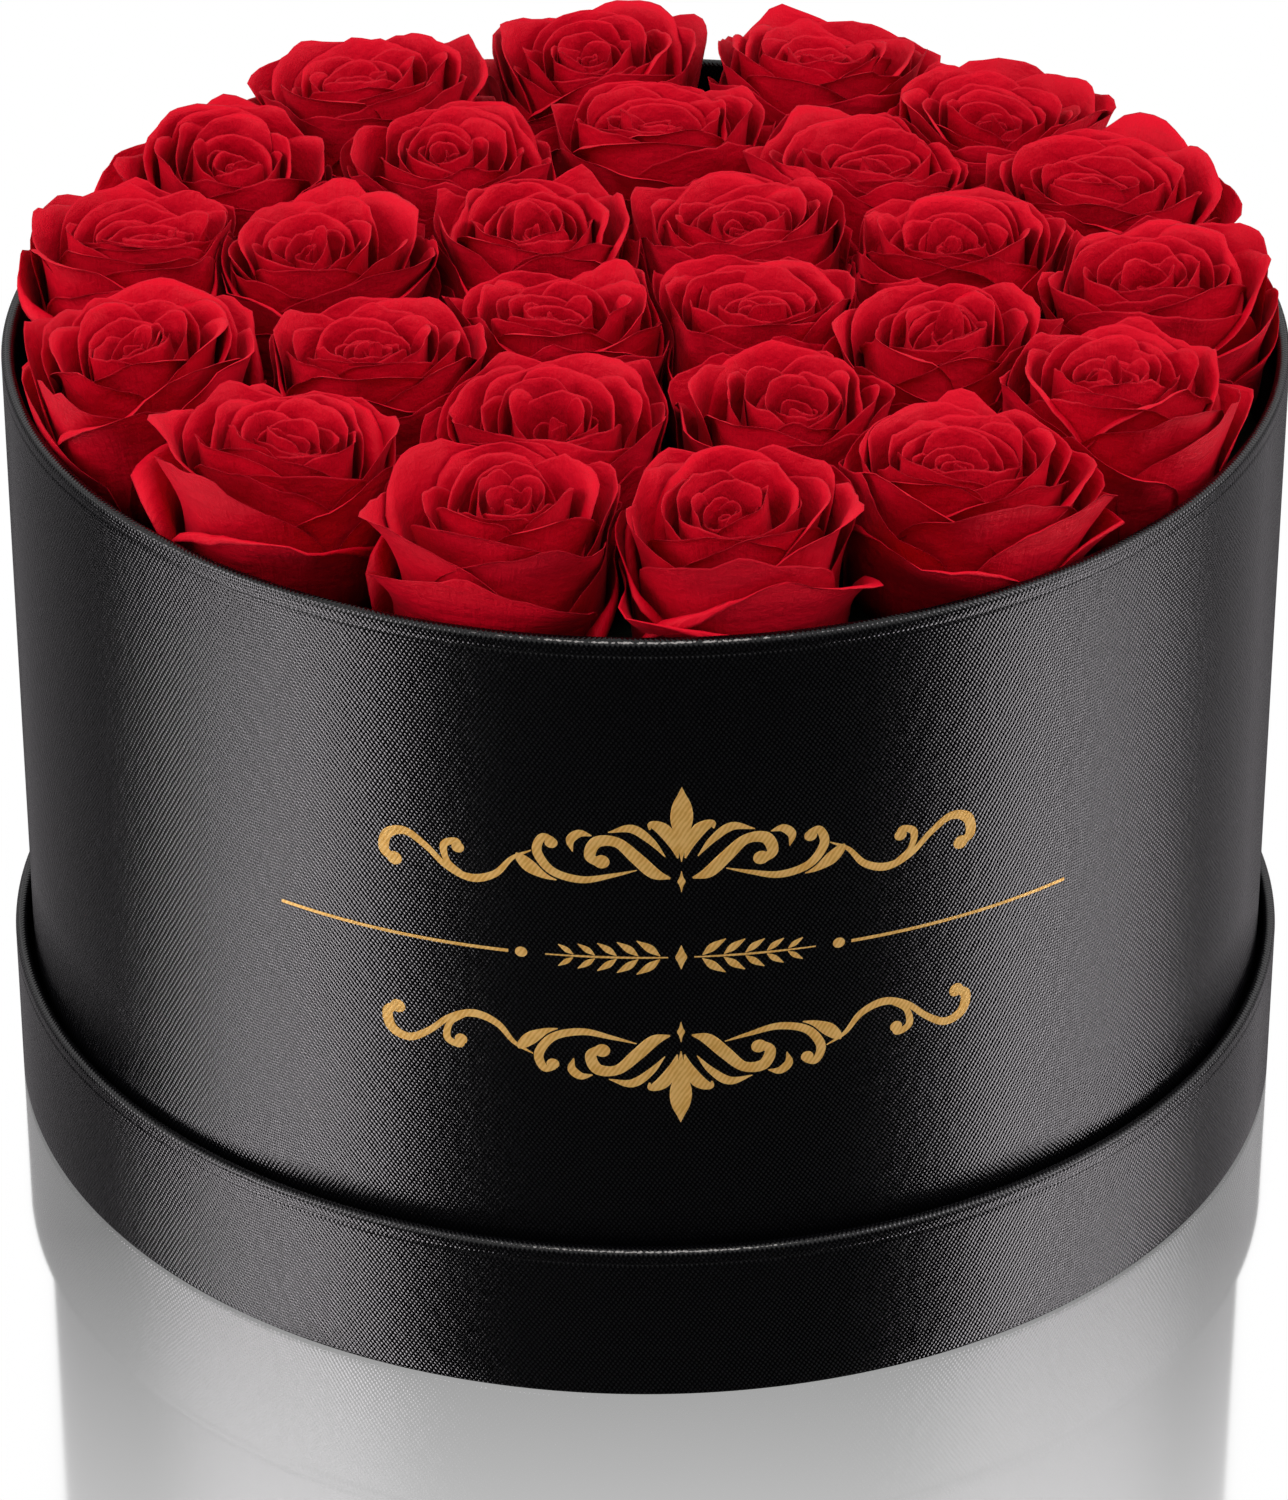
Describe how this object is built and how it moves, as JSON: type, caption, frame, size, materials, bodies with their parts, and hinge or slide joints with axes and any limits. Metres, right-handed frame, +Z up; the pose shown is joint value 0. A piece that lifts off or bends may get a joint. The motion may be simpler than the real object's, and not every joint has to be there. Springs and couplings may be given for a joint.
{
  "type": "round flower box with roses",
  "caption": "Round covered hat box standing in its upturned lid, holding preserved roses set in foam on a raised deck.",
  "frame": {"origin": "centre of the underside of the lid, which is the base that the box stands in", "axes": "+Z up along the box's own axis, -Y towards the front, +X to the right seen from the front"},
  "size_m": [0.2778, 0.2778, 0.1934],
  "materials": {
    "cover_paper": "satin",
    "lining_paper": "matte",
    "greyboard": "matte",
    "corrugated_board": "matte",
    "floral_foam": "matte",
    "rose": "satin"
  },
  "bodies": {
    "lid": {"lid_panel": "greyboard", "lid_wall": "greyboard", "lid_wall_cover": "cover_paper", "lid_panel_cover": "cover_paper", "lid_wall_lining": "lining_paper", "lid_panel_lining": "lining_paper"},
    "box": {"box_wall": "greyboard", "box_floor": "greyboard", "box_wall_cover": "cover_paper", "box_floor_cover": "cover_paper", "box_wall_lining": "lining_paper", "box_floor_lining": "lining_paper", "riser_ring": "corrugated_board", "riser_deck": "corrugated_board"},
    "insert": {"foam_block": "floral_foam", "rose_01": "rose", "rose_02": "rose", "rose_03": "rose", "rose_04": "rose", "rose_05": "rose", "rose_06": "rose", "rose_07": "rose", "rose_08": "rose", "rose_09": "rose", "rose_10": "rose", "rose_11": "rose", "rose_12": "rose", "rose_13": "rose", "rose_14": "rose", "rose_15": "rose", "rose_16": "rose", "rose_17": "rose", "rose_18": "rose", "rose_19": "rose", "rose_20": "rose", "rose_21": "rose", "rose_22": "rose", "rose_23": "rose", "rose_24": "rose", "rose_25": "rose", "rose_26": "rose", "rose_27": "rose"}
  },
  "joints": [
    {"name": "box_lift", "type": "slide", "parent": "lid", "child": "box", "axis": [0, 0, 1], "range_m": [0, 0.06]},
    {"name": "insert_lift", "type": "slide", "parent": "box", "child": "insert", "axis": [0, 0, 1], "range_m": [0, 0.1]}
  ]
}
